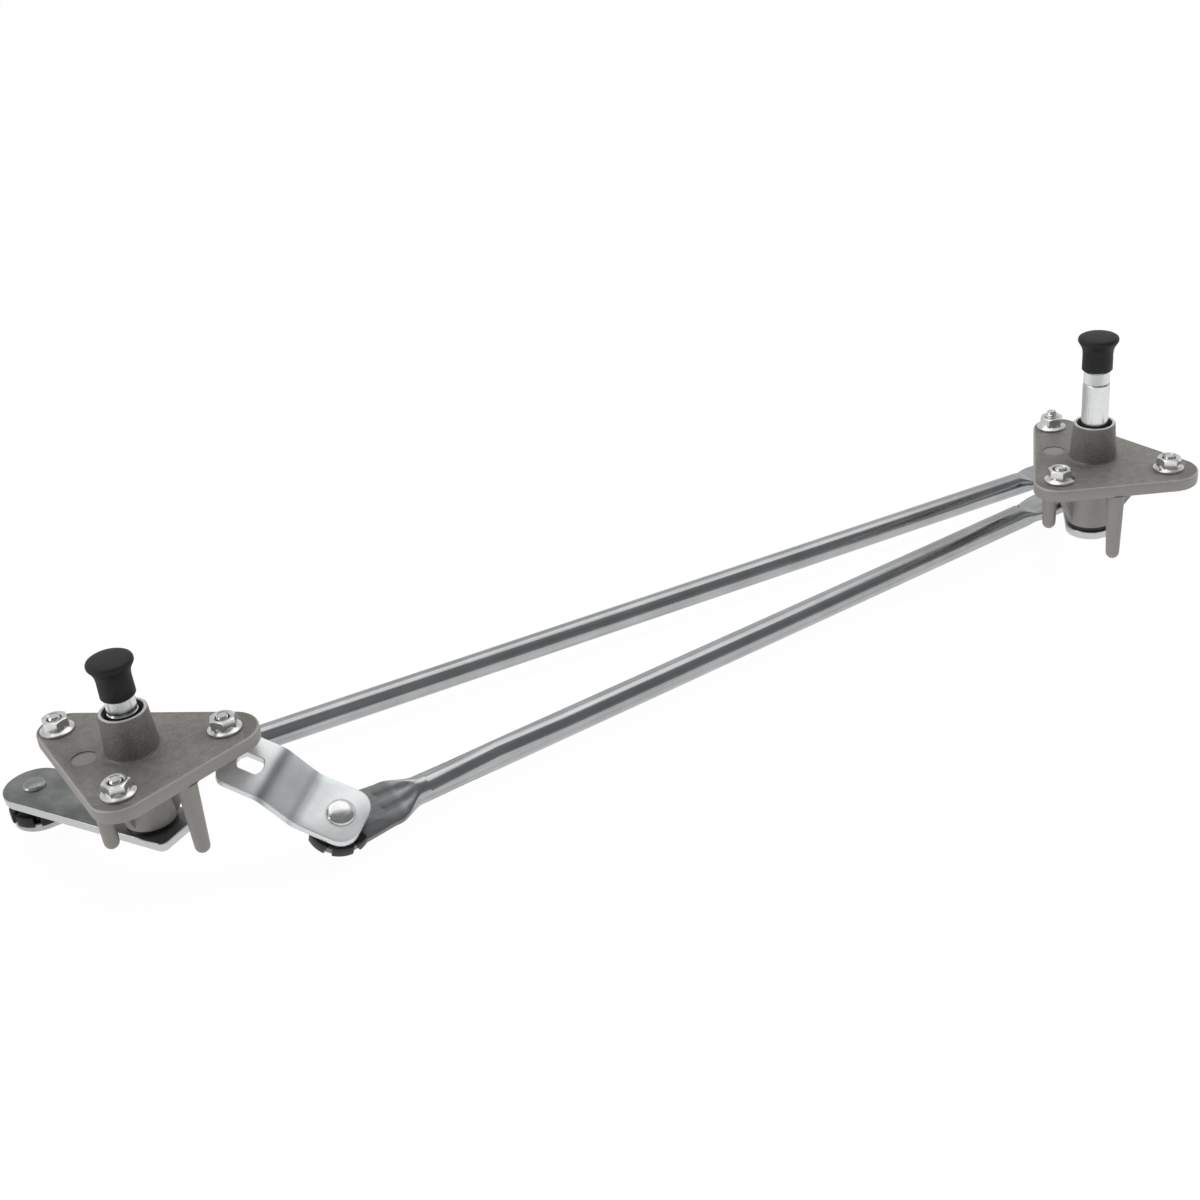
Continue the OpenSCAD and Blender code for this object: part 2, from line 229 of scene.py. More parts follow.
grainGroup = makeGrainGroup()
streakGroup = makeStreakGroup()
edgeGroup = makeEdgeGroup()

# low and high are the two tones of the skin and edge that of a rubbed edge, on the lever also painted
# reflection;
# machined and under give a height in metres and the tone past it; marked names a value on the mesh, its share
# and its tone
finishes = {
    "castAluminium": {
        "low": (0.132, 0.124, 0.115), "high": (0.232, 0.219, 0.205), "edge": (0.46, 0.44, 0.415),
        # under is painted light: a lighter tone below the plate's face stands in for the floor's bounce on
        # sides, posts and ribs
        "machined": (0.0182, (0.86, 0.86, 0.84)), "under": (-0.0001, (0.39, 0.372, 0.35)),
        # marked paints a highlight along the rounded top rim
        "marked": ("rimHighlight", 0.55, (0.62, 0.595, 0.56)), "edgeLimits": (0.53, 0.63), "blotch": 0.2,
        "metallic": 0.42, "rough": (0.44, 0.58), "grain": 1300.0, "patch": 120.0,
        "bump": 0.45, "depth": 0.00026,
    },
    "zincBright": {
        "low": (0.60, 0.61, 0.60), "high": (0.82, 0.82, 0.80), "edge": (0.92, 0.92, 0.90),
        "metallic": 1.0, "rough": (0.15, 0.25), "grain": 1900.0, "patch": 240.0,
        "bump": 0.10, "depth": 0.00008,
    },
    "shaftZinc": {
        "low": (0.67, 0.69, 0.68), "high": (0.74, 0.76, 0.75), "edge": (0.88, 0.88, 0.87), "blotch": 0.6,
        "metallic": 1.0, "rough": (0.17, 0.20), "grain": 900.0, "patch": 60.0,
        "bump": 0.01, "depth": 0.00005,
    },
    "leverZincShaded": {
        # dark tones are painted shade: the lever's reflection of the shaded plate above, put into its colour
        "low": (0.11, 0.118, 0.118), "high": (0.30, 0.315, 0.31), "edge": (0.80, 0.80, 0.79),
        # sheared and edge here are partly painted reflection of the floor on the lever's upright faces and
        # edges
        "shearedAndSheen": (0.62, 0.63, 0.63), "blotch": 0.7,
        "metallic": 0.92, "rough": (0.24, 0.40), "grain": 1500.0, "patch": 60.0,
        "bump": 0.14, "depth": 0.00008,
    },
    "armZinc": {
        "low": (0.76, 0.79, 0.80), "high": (0.90, 0.92, 0.92), "edge": (0.93, 0.93, 0.93),
        # marked paints dark reflection into the arm's bends
        "marked": ("darkBendReflection", 0.75, (0.17, 0.19, 0.20)),
        "metallic": 0.7, "rough": (0.32, 0.46), "grain": 1500.0, "patch": 90.0,
        "bump": 0.14, "depth": 0.00008,
    },
    "sinteredBronze": {
        "low": (0.28, 0.19, 0.09), "high": (0.44, 0.32, 0.17), "edge": (0.60, 0.47, 0.27),
        "metallic": 0.9, "rough": (0.40, 0.55), "grain": 2200.0, "patch": 200.0,
        "bump": 0.2, "depth": 0.0001,
    },
    "blackMoulding": {
        "low": (0.006, 0.006, 0.007), "high": (0.016, 0.016, 0.017), "edge": (0.04, 0.04, 0.04),
        "shine": 0.35, "metallic": 0.0, "rough": (0.24, 0.38), "grain": 2400.0, "patch": 220.0,
        "bump": 0.08, "depth": 0.00006,
    },
    "blackCap": {
        "low": (0.010, 0.010, 0.0098), "high": (0.020, 0.0195, 0.019), "edge": (0.034, 0.033, 0.032),
        "shine": 0.3, "metallic": 0.0, "rough": (0.46, 0.60), "grain": 2600.0, "patch": 180.0,
        "bump": 0.18, "depth": 0.00008,
    },
    "sealRubber": {
        "low": (0.006, 0.006, 0.006), "high": (0.013, 0.013, 0.013), "edge": (0.025, 0.025, 0.025),
        "shine": 0.3, "metallic": 0.0, "rough": (0.45, 0.6), "grain": 2600.0, "patch": 220.0,
        "bump": 0.15, "depth": 0.00006,
    },
}
# what the finishes share; steep is how fast a machined or under tone sets in, per metre
finishLook = {
    "edgeLimits": (0.52, 0.62), "edgeShare": 0.75, "blotch": 0.5, "shine": 0.5, "stops": (0.36, 0.64),
    "steep": {"machined": 8000.0, "under": -2500.0}, "heightShare": 0.75, "markLift": 0.5,
}


def newMaterial(name):
    material = bpy.data.materials.new(name)
    material.use_nodes = True
    return material, material.node_tree, material.node_tree.nodes["Principled BSDF"]


def toneStops(spec):
    return list(zip(spec["stops"], (spec["low"], spec["high"])))


def patchRoughness(tree, patches, spec):
    low, high = spec["rough"]
    return mathNode(tree, "ADD", times(tree, patches, high - low), low)


def bumpNormal(tree, height, spec):
    values = {"Strength": spec["bump"], "Distance": spec["depth"], "Height": height}
    return addNode(tree, "ShaderNodeBump", values).outputs["Normal"]


def makeFinish(name, spec):
    look = {**finishLook, **spec}
    material, tree, surface = newMaterial(name)
    scales = {"Scale": look["grain"], "Patch": look["patch"]}
    grain = addNode(tree, "ShaderNodeGroup", scales, node_tree=grainGroup).outputs
    limits = dict(zip(("Low", "High"), look["edgeLimits"]))
    mask = addNode(tree, "ShaderNodeGroup", limits, node_tree=edgeGroup).outputs["Mask"]
    tone = weighNodes(tree, grain["Tone"], grain["Patches"], look["blotch"])
    skin = rampNode(tree, tone, toneStops(look))
    colour = mixColour(tree, times(tree, mask, look["edgeShare"]), skin, look["edge"])
    if "shearedAndSheen" in look:   # bright cut edge of a stamping: its burnish, and a painted reflection of the floor on every upright face
        facing = splitAxes(tree, addNode(tree, "ShaderNodeNewGeometry").outputs["Normal"])
        side = mathNode(tree, "SUBTRACT", 1.0, mathNode(tree, "ABSOLUTE", facing["Z"], 0.0), clamp=True)
        colour = mixColour(tree, side, colour, look["shearedAndSheen"])
    for key, steep in look["steep"].items():   # turned rim of the boss, and painted light that lightens everything below the plate's face
        if key in look:
            height, bright = look[key]
            past = mathNode(tree, "SUBTRACT", splitAxes(tree, objectCoords(tree))["Z"], height)
            cut = times(tree, past, steep, clamp=True)
            colour = mixColour(tree, times(tree, cut, look["heightShare"]), colour, bright)
    if "marked" in look:   # painted highlight on the housing's rounded top rim, painted dark reflection in the arm's bends, marked on the mesh
        label, share, tint = look["marked"]
        mark = addNode(tree, "ShaderNodeAttribute", attribute_name=label).outputs["Fac"]
        lifted = mathNode(tree, "ADD", grain["Patches"], look["markLift"])
        broken = times(tree, mark, lifted, clamp=True)
        colour = mixColour(tree, times(tree, broken, share), colour, tint)
    feedNode(tree, surface, {
        "Base Color": colour, "Metallic": look["metallic"], "Specular IOR Level": look["shine"],
        "Roughness": patchRoughness(tree, grain["Patches"], look),
        "Normal": bumpNormal(tree, grain["Height"], look)})
    return material


# dull gives how far the dull end reaches, the length it fades over and how much of the tone is left
tubeFinish = {
    "low": (0.31, 0.32, 0.325), "high": (0.54, 0.545, 0.55), "stops": (0.32, 0.66), "blotch": 0.4,
    "metallic": 1.0, "rough": (0.14, 0.23), "bump": 0.10, "depth": 0.00005,
    "dull": (0.034, 0.008, 0.5), "dullRough": 0.5,
}


def makeTubeFinish(name, spec, turnDegrees, dullFrom=None):
    material, tree, surface = newMaterial(name)
    turn = {"Turn": (0.0, 0.0, -math.radians(turnDegrees))}
    drawn = addNode(tree, "ShaderNodeGroup", turn, node_tree=streakGroup).outputs
    tone = weighNodes(tree, drawn["Streaks"], drawn["Patches"], spec["blotch"])
    skin = rampNode(tree, tone, toneStops(spec))
    rough = patchRoughness(tree, drawn["Patches"], spec)
    if dullFrom is not None:   # darker and rougher towards the squeezed end by the motor
        reach, fade, left = spec["dull"]
        axis = polar(1.0, turnDegrees)
        values = {0: objectCoords(tree), 1: axis}
        along = addNode(tree, "ShaderNodeVectorMath", values, operation="DOT_PRODUCT")
        past = mathNode(tree, "SUBTRACT", reach + dullFrom.dot(axis) * mm, along.outputs["Value"])
        faded = times(tree, past, 1.0 / fade, clamp=True)
        dull = times(tree, faded, 1.0 - left)
        skin = mixColour(tree, dull, skin, (0.0, 0.0, 0.0))
        rough = mathNode(tree, "ADD", rough, times(tree, dull, spec["dullRough"]))
    feedNode(tree, surface, {"Base Color": skin, "Metallic": spec["metallic"], "Roughness": rough,
                             "Normal": bumpNormal(tree, drawn["Height"], spec)})
    return material


finish = {name: makeFinish(name, spec) for name, spec in finishes.items()}
finish["dragSteel"] = makeTubeFinish("dragSteel", tubeFinish, dragTurn)
finish["driveSteel"] = makeTubeFinish("driveSteel", tubeFinish, driveTurn, dullFrom=motorBall)
print("finishes made:", ", ".join(finish))


# mesh helpers, all in millimetres until a piece is finished

# nearer than these, points are merged, lie at one height, or lie on one flat face (the last in radians)
near = {"merge": 1e-4, "level": 1e-3, "flat": 0.012}


def faceOut(bm):
    bmesh.ops.recalc_face_normals(bm, faces=bm.faces)


def toMesh(bm, name):
    mesh = bpy.data.meshes.new(name)
    bm.to_mesh(mesh)
    bm.free()
    return mesh


def addObject(name, data):
    item = bpy.data.objects.new(name, data)
    bpy.context.scene.collection.objects.link(item)
    return item


def finishPiece(bm, name, body, material, at, node, sharp=32.0):
    bmesh.ops.transform(bm, matrix=at, verts=bm.verts)
    bmesh.ops.scale(bm, vec=(mm, mm, mm), verts=bm.verts)
    mesh = toMesh(bm, name)
    mesh.shade_smooth()
    mesh.set_sharp_from_angle(angle=math.radians(sharp))
    mesh.materials.append(finish[material])
    piece = addObject(name, mesh)
    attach(piece, body)
    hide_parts(node)


def addShape(bm, shape, at=None):
    if at is not None:
        bmesh.ops.transform(shape, matrix=at, verts=shape.verts)
    spare = toMesh(shape, "spare")
    bm.from_mesh(spare)
    bpy.data.meshes.remove(spare)


def softenEdges(bm, width, segments=2, minDegrees=30.0, pick=None):
    sharp = [e for e in bm.edges if len(e.link_faces) == 2
             and e.calc_face_angle(0.0) > math.radians(minDegrees) and (pick is None or pick(e))]
    bmesh.ops.bevel(bm, geom=sharp, offset=width, offset_type="OFFSET", segments=segments, profile=0.5,
                    affect="EDGES", material=-1, clamp_overlap=True, loop_slide=True)


def softenRim(bm, z, width, segments=3):
    # rounds the square rim of a flat plate at one height
    level = lambda e: all(abs(v.co.z - z) < near["level"] for v in e.verts)
    softenEdges(bm, width, segments=segments, minDegrees=60.0, pick=level)


def offset(pairs, radius, height):
    return [(radius + wide, height + up) for wide, up in pairs]


def spinProfile(points, steps=72, closed=False):
    bm = bmesh.new()
    verts = [bm.verts.new((r, 0.0, z)) for r, z in points]
    edges = [bm.edges.new(pair) for pair in zip(verts, verts[1:])]
    if closed:
        edges.append(bm.edges.new((verts[-1], verts[0])))
    bmesh.ops.spin(bm, geom=verts + edges, cent=(0, 0, 0), axis=(0, 0, 1), angle=2 * math.pi,
                   steps=steps, use_merge=True)
    bmesh.ops.remove_doubles(bm, verts=bm.verts, dist=near["merge"])
    faceOut(bm)
    return bm


def hullPlate(discs, low, high, steps=64):
    # straight-sided plate round a few discs
    bm = bmesh.new()
    for x, y, r in discs:
        for z in (low, high):
            bmesh.ops.create_circle(bm, segments=steps, radius=r, matrix=shift(x, y, z))
    bmesh.ops.convex_hull(bm, input=bm.verts)
    bmesh.ops.delete(bm, geom=[v for v in bm.verts if not v.link_faces], context="VERTS")
    bmesh.ops.delete(bm, geom=[e for e in bm.edges if not e.link_faces], context="EDGES")
    bmesh.ops.dissolve_limit(bm, angle_limit=near["flat"], verts=bm.verts, edges=bm.edges)
    faceOut(bm)
    return bm


def cutAcross(bm, point, normal):
    everything = bm.verts[:] + bm.edges[:] + bm.faces[:]
    bmesh.ops.bisect_plane(bm, geom=everything, dist=near["merge"], plane_co=point, plane_no=normal)


def addLoop(bm, points):
    verts = [bm.verts.new(p) for p in points]
    return [bm.edges.new((verts[i - 1], verts[i])) for i in range(len(verts))]


def extrudeLoop(bm, edges):
    grown = bmesh.ops.extrude_edge_only(bm, edges=edges)["geom"]
    verts = [g for g in grown if isinstance(g, bmesh.types.BMVert)]
    return verts, [g for g in grown if isinstance(g, bmesh.types.BMEdge)]


def moveOut(vert, radius, z):
    # same direction from the axis, at a new radius and height
    vert.co = Vector((vert.co.x, vert.co.y, 0.0)).normalized() * radius + Vector((0, 0, z))


def openCap(bm, z, loop):
    # re-fills the flat face at a height so that it leaves the loop open
    level = [f for f in bm.faces if abs(f.calc_center_median().z - z) < near["level"]]
    face = max(level, key=lambda f: f.calc_area())
    rim = list(face.edges)
    bmesh.ops.delete(bm, geom=[face], context="FACES_ONLY")
    bmesh.ops.triangle_fill(bm, edges=rim + loop, use_beauty=True, normal=(0, 0, 1))


def boreThrough(bm, low, high, outline, chamfer):
    # outline(grow, z) gives the hole's points
    rings = [addLoop(bm, outline(chamfer, high)), addLoop(bm, outline(0.0, high - chamfer)),
             addLoop(bm, outline(0.0, low + chamfer)), addLoop(bm, outline(chamfer, low))]
    openCap(bm, high, rings[0])
    openCap(bm, low, rings[3])
    for a, b in zip(rings, rings[1:]):
        bmesh.ops.bridge_loops(bm, edges=a + b)
    faceOut(bm)


def roundHole(x, y, r, steps=64):
    return lambda grow, z: [(x + (r + grow) * math.cos(2 * math.pi * i / steps),
                             y + (r + grow) * math.sin(2 * math.pi * i / steps), z) for i in range(steps)]


def extrudeOutline(points, thick, soften):
    # flat outline in x and z, thickened along y
    bm = bmesh.new()
    face = bm.faces.new([bm.verts.new((x, -thick / 2, z)) for x, z in points])
    grown = bmesh.ops.extrude_face_region(bm, geom=[face], use_keep_orig=True)["geom"]
    moved = [g for g in grown if isinstance(g, bmesh.types.BMVert)]
    bmesh.ops.translate(bm, vec=(0, thick, 0), verts=moved)
    faceOut(bm)
    softenEdges(bm, soften)
    return bm


# pivot housings; flares and feet are pairs of added radius and height from the face they start at,
# a post is its x, y, depth and radius, and a rib its turn, reach, depth and thickness

housing = {
    "corners": [(-31.0, 26.0), (-5.0, -31.5), (37.0, 0.0)],
    "discs": [(-28.4, 27.2, 11.5), (-5.0, -31.5, 12.0), (37.0, 0.0, 13.7)],
    "plate": 6.0, "topRound": 0.9, "underRound": 0.6, "rimHighlightBand": (-0.8, -0.05),
    "mark": (-19.5, -0.5, 5.2), "markDepth": 0.4, "bore": 7.62, "boreChamfer": 0.4,
    "bossHeight": 18.5, "bossFoot": 11.1, "bossRim": 9.9, "bossRoot": -1.0, "rimChamfer": 0.5,
    "fillet": 1.6, "filletSink": 0.03, "sealBore": 8.27, "sealSeat": 14.5, "sealChamfer": 0.35,
    "lowerDepth": 34.5, "lowerRadius": 11.4, "lowerFoot": [(-0.55, 0.6), (-1.1, 0.0)],
    "lowerFlare": [(1.6, 4.0), (1.4, -0.1), (0.5, -0.8), (0.0, -2.0)],
    "shortPost": (-15.5, -15.0, 35.2, 3.9), "longPost": (19.5, -22.5, 41.0, 4.2), "postEnd": 3.2,
    "postFlare": [(0.0, -1.2), (0.9, -0.3), (1.6, 0.1)],
    "ribs": [(0.0, 26.9, 33.0, 5.0), (140.0, 24.9, 20.0, 5.0), (224.0, 24.0, 32.4, 5.0),
             (-62.0, 17.9, 19.0, 2.6), (-96.0, 17.9, 19.0, 2.6)],
    "ribRoot": 1.2, "ribTop": -3.0, "ribLip": 0.6, "ribInset": 0.6, "ribRound": 0.6,
}


def makePlate():
    h = housing
    bm = hullPlate(h["discs"], -h["plate"], 0.0)
    softenRim(bm, 0.0, h["topRound"])
    # the rounded top rim is marked for a painted highlight
    rimHighlightLayer = bm.verts.layers.float.new("rimHighlight")
    low, high = h["rimHighlightBand"]
    for v in bm.verts:
        v[rimHighlightLayer] = 1.0 if low < v.co.z < high else 0.0
    softenRim(bm, -h["plate"], h["underRound"], segments=2)
    ring = addLoop(bm, roundHole(*h["mark"])(0.0, 0.0))
    openCap(bm, 0.0, ring)
    sunk, floor = extrudeLoop(bm, ring)   # shallow ejector mark
    bmesh.ops.translate(bm, vec=(0, 0, -h["markDepth"]), verts=sunk)
    bmesh.ops.contextual_create(bm, geom=floor)
    faceOut(bm)
    return bm


def makeUpperBoss():
    h = housing
    foot, rim, top, curve = h["bossFoot"], h["bossRim"], h["bossHeight"], h["fillet"]
    bore, root, seal, chamfer = h["bore"], h["bossRoot"], h["sealBore"], h["sealChamfer"]
    edge, seat = h["rimChamfer"], h["sealSeat"]
    fillet = [(foot + curve * (1 - math.sin(a)), curve * (1 - math.cos(a)) - h["filletSink"])
              for a in angles(0, 91, 15)]
    return spinProfile([
        (bore, root), (foot + curve, root), *fillet, (rim, top - edge), (rim - edge, top),
        (seal + chamfer, top), (seal, top - chamfer), (seal, seat), (bore, seat)], closed=True)


def makeLowerBoss():
    h = housing
    bore, radius, chamfer = h["bore"], h["lowerRadius"], h["boreChamfer"]
    under, bottom = -h["plate"], -h["lowerDepth"]
    flare = offset(h["lowerFlare"], radius, under)
    foot = offset(h["lowerFoot"], radius, bottom)
    profile = [(bore, flare[0][1]), *flare, *foot, (bore + chamfer, bottom), (bore, bottom + chamfer)]
    return spinProfile(profile, closed=True)


def makeRib(reach, depth, thick):
    h = housing
    root, top = h["bore"] + h["ribRoot"], h["ribTop"]
    outline = [(root, top), (reach, top), (reach, -h["plate"] - h["ribLip"]),
               (h["lowerRadius"] - h["ribInset"], -depth), (root, -depth)]
    return extrudeOutline(outline, thick, h["ribRound"])


def makePost(depth, radius):
    end, under = housing["postEnd"], -housing["plate"]
    tip = [(end * math.cos(a), -depth + end - end * math.sin(a)) for a in angles(90, -1, -15)]
    flare = offset(housing["postFlare"], radius, under)
    return spinProfile([(0.0, tip[0][1]), *tip[1:], *flare, (0.0, flare[-1][1])], steps=40)


def makeHousing(side):
    bm = makePlate()
    addShape(bm, makeUpperBoss())
    addShape(bm, makeLowerBoss())
    for turn, reach, depth, thick in housing["ribs"]:
        addShape(bm, makeRib(reach, depth, thick), turnZ(turn))
    for x, y, depth, radius in (housing["shortPost"], housing["longPost"]):
        addShape(bm, makePost(depth, radius), shift(x, y, 0))
    finishPiece(bm, side + "HousingCast", side + "_pivot_housing", "castAluminium",
                at=place[side + "Mount"], node=side + "_housing", sharp=38.0)


for side in sides:
    makeHousing(side)
print("housings made")


# studs and flange nuts

nut = {
    "flange": 7.1, "flangeLip": 1.2, "lipRound": 0.3, "lipDrop": 0.25,
    "cone": [(6.0, 1.55), (5.35, 2.1), (5.05, 3.0)],
    "acrossCorners": 5.77, "hexFrom": 1.3, "hexCuts": 7, "height": 6.3, "topLip": 0.15, "topRadius": 4.75,
    "chamferFrom": 5.0, "chamferSlope": 0.62, "bore": 3.1, "boreFlare": 0.6, "boreDepth": 0.5,
    "firstTurn": 11.0, "nextTurn": 23.0,
}
# longer is what the stud in the right housing's first corner stands out further
stud = {
    "radius": 3.0, "root": 2.5, "low": -6.0, "top": 6.1, "tip": 6.9, "longer": 2.2, "tipRound": 0.35,
    "tipInset": (0.55, 0.75, 1.1), "pitch": 1.0, "threadFrom": 0.2, "runIn": 0.4, "runOut": 0.1,
    "crest": (0.42, 0.58), "crestInset": 0.02, "threadSink": 0.05, "threadSteps": 28, "nextTurn": 40.0,
}


def makeNut():
    n = nut
    flange, lip, curve, bore, height = n["flange"], n["flangeLip"], n["lipRound"], n["bore"], n["height"]
    bm = spinProfile([
        (bore, 0.0), (flange - curve, 0.0), (flange, curve), (flange, lip - n["lipDrop"]),
        (flange - curve, lip), *n["cone"], (bore, n["cone"][-1][1])], closed=True, steps=48)
    hexagon = bmesh.new()
    bmesh.ops.create_circle(hexagon, segments=6, radius=n["acrossCorners"], matrix=shift(0, 0, n["hexFrom"]))
    bmesh.ops.subdivide_edges(hexagon, edges=hexagon.edges[:], cuts=n["hexCuts"])
    loop = hexagon.edges[:]
    shoulder = height - n["topLip"]
    chamfered = lambda r: (r, min(shoulder, shoulder - (r - n["chamferFrom"]) * n["chamferSlope"]))
    steps = [chamfered, lambda r: (n["topRadius"], height), lambda r: (bore + n["boreFlare"], height),
             lambda r: (bore, height - n["boreDepth"])]
    for step in steps:
        verts, loop = extrudeLoop(hexagon, loop)
        for v in verts:
            moveOut(v, *step(Vector((v.co.x, v.co.y, 0.0)).length))
    faceOut(hexagon)
    addShape(bm, hexagon)
    return bm


def makeStud(more):
    s = stud
    r, root, pitch, start, steps = s["radius"], s["root"], s["pitch"], s["threadFrom"], s["threadSteps"]
    top, tip = s["top"] + more, s["tip"] + more
    neck, cone, point = s["tipInset"]
    bm = spinProfile([
        (0.0, s["low"]), (r, s["low"]), (r, start), (root, start + s["runIn"]), (root, top - s["runOut"]),
        (r - neck, top), (r - cone, tip - s["tipRound"]), (r - point, tip), (0.0, tip)], steps=48)
    thread = bmesh.new()
    foot, crest = root - s["threadSink"], r - s["crestInset"]
    ridge = [(foot, 0.0), (crest, s["crest"][0]), (crest, s["crest"][1]), (foot, pitch)]
    verts = [thread.verts.new((q, 0.0, start + z)) for q, z in ridge]
    edges = [thread.edges.new(pair) for pair in zip(verts, verts[1:])]
    turns = int((top - start) / pitch) - 1
    bmesh.ops.spin(thread, geom=verts + edges, cent=(0, 0, 0), axis=(0, 0, 1), dvec=(0, 0, pitch / steps),
                   angle=2 * math.pi * turns, steps=steps * turns, use_merge=False)
    bmesh.ops.remove_doubles(thread, verts=thread.verts, dist=near["level"])
    faceOut(thread)
    addShape(bm, thread)
    return bm


for side in sides:
    nuts, studs = bmesh.new(), bmesh.new()
    for k, (x, y) in enumerate(housing["corners"]):
        longer = stud["longer"] if side == "right" and k == 0 else 0.0
        addShape(nuts, makeNut(), shift(x, y, 0) @ turnZ(nut["firstTurn"] + nut["nextTurn"] * k))
        addShape(studs, makeStud(longer), shift(x, y, 0) @ turnZ(stud["nextTurn"] * k))
    for bm, name, node in ((nuts, "NutSet", "_flange_nuts"), (studs, "StudSet", "_studs")):
        finishPiece(bm, side + name, side + "_pivot_housing", "zincBright",
                    at=place[side + "Mount"], node=side + node, sharp=28.0)
print("studs and nuts made")


# shafts, seals and caps

shaft = {
    "tops": {"left": 42.5, "right": 63.0}, "radius": 6.35, "rivet": 2.0, "rivetEdge": 1.3,
    "rivetInset": (1.6, 1.1, 0.6), "dimple": (1.6, 2.2), "dimpleFloor": 1.5,
    "grip": 6.1, "gripFrom": 21.0, "gripTo": 14.5, "gripChamfer": 0.3, "core": 0.45, "coreLow": 0.05,
    "coreHigh": 0.1, "taperInset": 0.2, "end": 5.45, "endLength": 4.0, "endChamfer": 1.0,
    "knurlPoints": 120, "valley": 0.36, "bandInset": 0.5, "bandStart": 0.1, "bandFoot": 0.5, "bandTop": 0.4,
}
seal = {"inner": 6.42, "outer": 8.25,
        "lip": [(8.25, 17.3), (8.0, 17.5), (7.5, 17.2), (7.1, 16.6), (6.8, 17.0), (6.5, 17.45), (6.42, 17.3)]}
# pairs of added radius, or in the crown a share of the disc's radius, and height from the cap's top
cap = {
    "height": 17.0, "roof": 3.0, "disc": 9.5, "neck": 7.2, "mouthGap": 0.07, "footRound": (0.25, 0.35),
    "neckSide": [(-0.08, -12.0), (-0.12, -9.4), (0.0, -7.7), (0.3, -6.3), (0.8, -5.1), (1.45, -4.0)],
    "discSide": [(-0.25, -3.05), (-0.05, -2.6), (0.0, -2.1), (-0.06, -1.5), (-0.35, -0.95), (-0.95, -0.55)],
    "crown": [(0.7, -0.2), (0.4, -0.03)], "roomAbove": 0.3, "roomBeside": 0.1, "roomChamfer": (0.9, 0.7),
}


def makeShaft(side):
    s = shaft
    tip = s["tops"][side] - cap["roof"]
    r, grip, end = s["radius"], s["grip"], s["end"]
    bottom, seat = layout["leverBottom"], layout["leverTop"]
    low, high = tip - s["gripFrom"], tip - s["gripTo"]
    face, floor, core = bottom - s["rivet"], bottom - s["dimpleFloor"], grip - s["core"]
    flat, edge, neck = (r - inset for inset in s["rivetInset"])
    bm = spinProfile([
        (0.0, floor), (s["dimple"][0], floor), (s["dimple"][1], face), (flat, face),
        (edge, bottom - s["rivetEdge"]), (neck, bottom), (neck, seat), (r, seat),
        (r, low - s["gripChamfer"]), (r - s["gripChamfer"], low), (core, low + s["coreLow"]),
        (core, high - s["coreHigh"]), (grip - s["taperInset"], high), (end, tip - s["endLength"]),
        (end, tip - s["endChamfer"]), (end - s["endChamfer"], tip), (0.0, tip)], steps=96)
    band = bmesh.new()
    bmesh.ops.create_circle(band, segments=s["knurlPoints"], radius=grip - s["bandInset"],
                            matrix=shift(0, 0, low + s["bandStart"]))
    loop = band.edges[:]
    pitch = 2 * math.pi / s["knurlPoints"]
    rings = [(0.0, s["valley"], low + s["bandFoot"]), (0.0, s["valley"], high - s["bandTop"]),
             (s["bandInset"], 0.0, high)]
    for inset, valley, z in rings:
        verts, loop = extrudeLoop(band, loop)
        for v in verts:
            odd = round(math.atan2(v.co.y, v.co.x) / pitch) % 2   # every other point is a valley
            moveOut(v, grip - inset - valley * odd, z)
    faceOut(band)
    addShape(bm, band)
    finishPiece(bm, side + "ShaftTurned", side + "_crank", "shaftZinc",
                at=place[side + "Shaft"], node=side + "_shaft", sharp=26.0)


def makeSeal(side):
    foot = housing["sealSeat"]
    bm = spinProfile([(seal["inner"], foot), (seal["outer"], foot), *seal["lip"]], closed=True)
    finishPiece(bm, side + "SealRing", side + "_pivot_housing", "sealRubber",
                at=place[side + "Shaft"], node=side + "_shaft_seal")


def makeCap(side):
    c = cap
    top, disc, neck = shaft["tops"][side], c["disc"], c["neck"]
    foot, tip = top - c["height"], top - c["roof"]
    roof, room = tip + c["roomAbove"], shaft["end"] + c["roomBeside"]
    footIn, footUp = c["footRound"]
    roofIn, roofDown = c["roomChamfer"]
    inner = [(0.0, roof), (shaft["end"] - roofIn, roof), (room, tip - roofDown),
             (room, tip - shaft["endLength"]), (shaft["grip"] + c["mouthGap"], foot)]
    outer = [(neck - footIn, foot), (neck, foot + footUp)]
    outer += offset(c["neckSide"], neck, top) + offset(c["discSide"], disc, top)
    crown = [(disc * part, top + z) for part, z in c["crown"]]
    bm = spinProfile(inner + outer + crown + [(0.0, top)], steps=80)
    finishPiece(bm, side + "CapMoulded", side + "_shaft_cap", "blackCap",
                at=place[side + "Shaft"], node=side + "_cap", sharp=40.0)


for side in sides:
    makeShaft(side)
    makeSeal(side)
    makeCap(side)
print("shafts, seals and caps made")


# levers and ball studs

lever = {
    "left": [(layout["leftLever"], 0.0, 13.5), (-13.0, 9.0, 3.0), (-13.0, -9.0, 3.0)],
    "right": [(layout["rightLever"], 0.0, 11.6), (0.0, 0.0, 11.6)],
    "shear": 1.5, "breakX": 0.10, "breakY": 0.16, "topRound": 0.45, "underRound": 0.2,
}


def makeLever(side):
    low, high = layout["leverBottom"], layout["leverTop"]
    bm = hullPlate(lever[side], low, high)
    cutAcross(bm, (0, 0, high - lever["shear"]), (0, 0, 1))
    for v in bm.verts:
        if v.co.z < low + near["level"]:   # the cut edge breaks slightly inwards
            v.co.x -= lever["breakX"] if v.co.x > 0 else -lever["breakX"]
            v.co.y -= math.copysign(lever["breakY"], v.co.y)
    softenRim(bm, high, lever["topRound"])
    softenRim(bm, low, lever["underRound"], segments=1)
    finishPiece(bm, side + "LeverPressed", side + "_crank", "leverZincShaded",
                at=place[side + "Lever"], node=side + "_lever", sharp=30.0)


